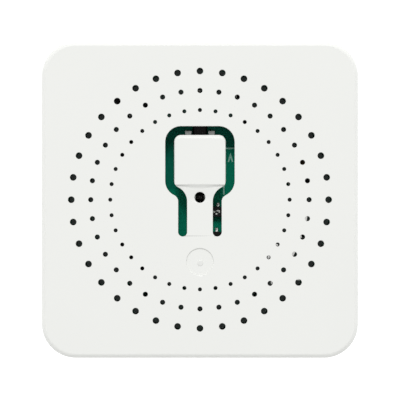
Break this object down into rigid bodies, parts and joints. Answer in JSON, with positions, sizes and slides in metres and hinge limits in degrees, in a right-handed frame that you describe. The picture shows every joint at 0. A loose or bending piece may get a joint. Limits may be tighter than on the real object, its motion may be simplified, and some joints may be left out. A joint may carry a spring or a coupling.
{
  "type": "smart relay module",
  "caption": "Square white in-wall relay module with rings of vents, a springy push pad in a keyhole slit, a green board inside and a row of screw wire clamps in one side.",
  "frame": {"origin": "centre of the outline on the plane of the flat back", "axes": "+Z out of the vented face, +Y from the wire entries towards the far side, +X to the right when looking at the vented face with the wire entries below"},
  "size_m": [0.0406, 0.0406, 0.02],
  "materials": {
    "white_case": "fine satin moulded texture",
    "green_board": "glossy solder mask over glass fibre",
    "terminal_plastic": "satin moulded",
    "dark_plastic": "matt moulded",
    "relay_case_plastic": "semi-gloss moulded",
    "plated_steel": "zinc plated",
    "tinned_brass": "tin plated",
    "solder": "smooth flowed solder",
    "copper": "enamelled copper wire",
    "can_aluminium": "sleeved aluminium can",
    "ceramic": "fired ceramic body",
    "varistor_coat": "dipped epoxy coating",
    "fuse_coat": "dipped coating",
    "film_case": "moulded case",
    "lamp_lens": "clear moulded lens"
  },
  "bodies": {
    "housing": {"base": "white_case", "bridge_rectifier": "dark_plastic", "bulk_capacitors": "can_aluminium", "chip_capacitors": "ceramic", "chip_resistors": "dark_plastic", "choke_core": "dark_plastic", "choke_winding": "copper", "circuit_board": "green_board", "component_leads": "solder", "cover": "white_case", "fusible_resistor": "fuse_coat", "output_capacitor": "can_aluminium", "power_chip": "dark_plastic", "protection_diode": "dark_plastic", "radio_board": "green_board", "radio_pins": "tinned_brass", "radio_shield": "plated_steel", "relay_base": "dark_plastic", "relay_bobbin": "dark_plastic", "relay_case": "relay_case_plastic", "relay_core": "plated_steel", "relay_fixed_contact": "tinned_brass", "relay_pins": "tinned_brass", "relay_winding": "copper", "relay_yoke": "plated_steel", "signal_transistors": "dark_plastic", "solder_joints": "solder", "status_lamp_body": "ceramic", "status_lamp_lens": "lamp_lens", "suppression_capacitor": "film_case", "tact_switch_body": "dark_plastic", "tact_switch_dome": "plated_steel", "tact_switch_frame": "plated_steel", "tact_switch_legs": "solder", "terminal_housings": "terminal_plastic", "terminal_tabs": "tinned_brass", "varistor": "varistor_coat", "voltage_regulator": "dark_plastic"},
    "button": {"button_tongue": "white_case"},
    "tact_plunger": {"tact_switch_plunger": "dark_plastic"},
    "relay_armature": {"relay_armature": "plated_steel", "relay_leaf_spring": "tinned_brass"},
    "screw_1": {"terminal_screw_1": "plated_steel"},
    "cage_1": {"clamp_cage_1": "plated_steel"},
    "screw_2": {"terminal_screw_2": "plated_steel"},
    "cage_2": {"clamp_cage_2": "plated_steel"},
    "screw_3": {"terminal_screw_3": "plated_steel"},
    "cage_3": {"clamp_cage_3": "plated_steel"},
    "screw_4": {"terminal_screw_4": "plated_steel"},
    "cage_4": {"clamp_cage_4": "plated_steel"},
    "screw_5": {"terminal_screw_5": "plated_steel"},
    "cage_5": {"clamp_cage_5": "plated_steel"},
    "screw_6": {"terminal_screw_6": "plated_steel"},
    "cage_6": {"clamp_cage_6": "plated_steel"}
  },
  "joints": [
    {"name": "button_press", "type": "hinge", "parent": "housing", "child": "button", "pos_m": [0, -0.00472, 0.0186], "axis": [1, 0, 0], "range_deg": [-1.6, 0], "stiffness_Nm_per_rad": 0.04},
    {"name": "plunger_travel", "type": "slide", "parent": "housing", "child": "tact_plunger", "axis": [0, 0, -1], "range_m": [0, 0.00025]},
    {"name": "armature_rock", "type": "hinge", "parent": "housing", "child": "relay_armature", "pos_m": [0.0119, -0.00213, 0.0039], "axis": [1, 0, 0], "range_deg": [-4.2, 0], "stiffness_Nm_per_rad": 0.02},
    {"name": "screw_1_turn", "type": "hinge", "parent": "housing", "child": "screw_1", "pos_m": [-0.0127, -0.01515, 0.004], "axis": [0, 0, 1], "range_deg": [0, 1765]},
    {"name": "cage_1_travel", "type": "slide", "parent": "housing", "child": "cage_1", "axis": [0, 0, -1], "range_m": [0, 0.0022]},
    {"name": "screw_2_turn", "type": "hinge", "parent": "housing", "child": "screw_2", "pos_m": [-0.00762, -0.01515, 0.004], "axis": [0, 0, 1], "range_deg": [0, 1765]},
    {"name": "cage_2_travel", "type": "slide", "parent": "housing", "child": "cage_2", "axis": [0, 0, -1], "range_m": [0, 0.0022]},
    {"name": "screw_3_turn", "type": "hinge", "parent": "housing", "child": "screw_3", "pos_m": [-0.00254, -0.01515, 0.004], "axis": [0, 0, 1], "range_deg": [0, 1765]},
    {"name": "cage_3_travel", "type": "slide", "parent": "housing", "child": "cage_3", "axis": [0, 0, -1], "range_m": [0, 0.0022]},
    {"name": "screw_4_turn", "type": "hinge", "parent": "housing", "child": "screw_4", "pos_m": [0.00254, -0.01515, 0.004], "axis": [0, 0, 1], "range_deg": [0, 1765]},
    {"name": "cage_4_travel", "type": "slide", "parent": "housing", "child": "cage_4", "axis": [0, 0, -1], "range_m": [0, 0.0022]},
    {"name": "screw_5_turn", "type": "hinge", "parent": "housing", "child": "screw_5", "pos_m": [0.00762, -0.01515, 0.004], "axis": [0, 0, 1], "range_deg": [0, 1765]},
    {"name": "cage_5_travel", "type": "slide", "parent": "housing", "child": "cage_5", "axis": [0, 0, -1], "range_m": [0, 0.0022]},
    {"name": "screw_6_turn", "type": "hinge", "parent": "housing", "child": "screw_6", "pos_m": [0.0127, -0.01515, 0.004], "axis": [0, 0, 1], "range_deg": [0, 1765]},
    {"name": "cage_6_travel", "type": "slide", "parent": "housing", "child": "cage_6", "axis": [0, 0, -1], "range_m": [0, 0.0022]}
  ],
  "couplings": [
    {"joint": "plunger_travel", "follows": "button_press", "m_per_rad": -0.0085944},
    {"joint": "screw_1_turn", "follows": "cage_1_travel", "rad_per_m": 13963},
    {"joint": "screw_2_turn", "follows": "cage_2_travel", "rad_per_m": 13963},
    {"joint": "screw_3_turn", "follows": "cage_3_travel", "rad_per_m": 13963},
    {"joint": "screw_4_turn", "follows": "cage_4_travel", "rad_per_m": 13963},
    {"joint": "screw_5_turn", "follows": "cage_5_travel", "rad_per_m": 13963},
    {"joint": "screw_6_turn", "follows": "cage_6_travel", "rad_per_m": 13963}
  ]
}
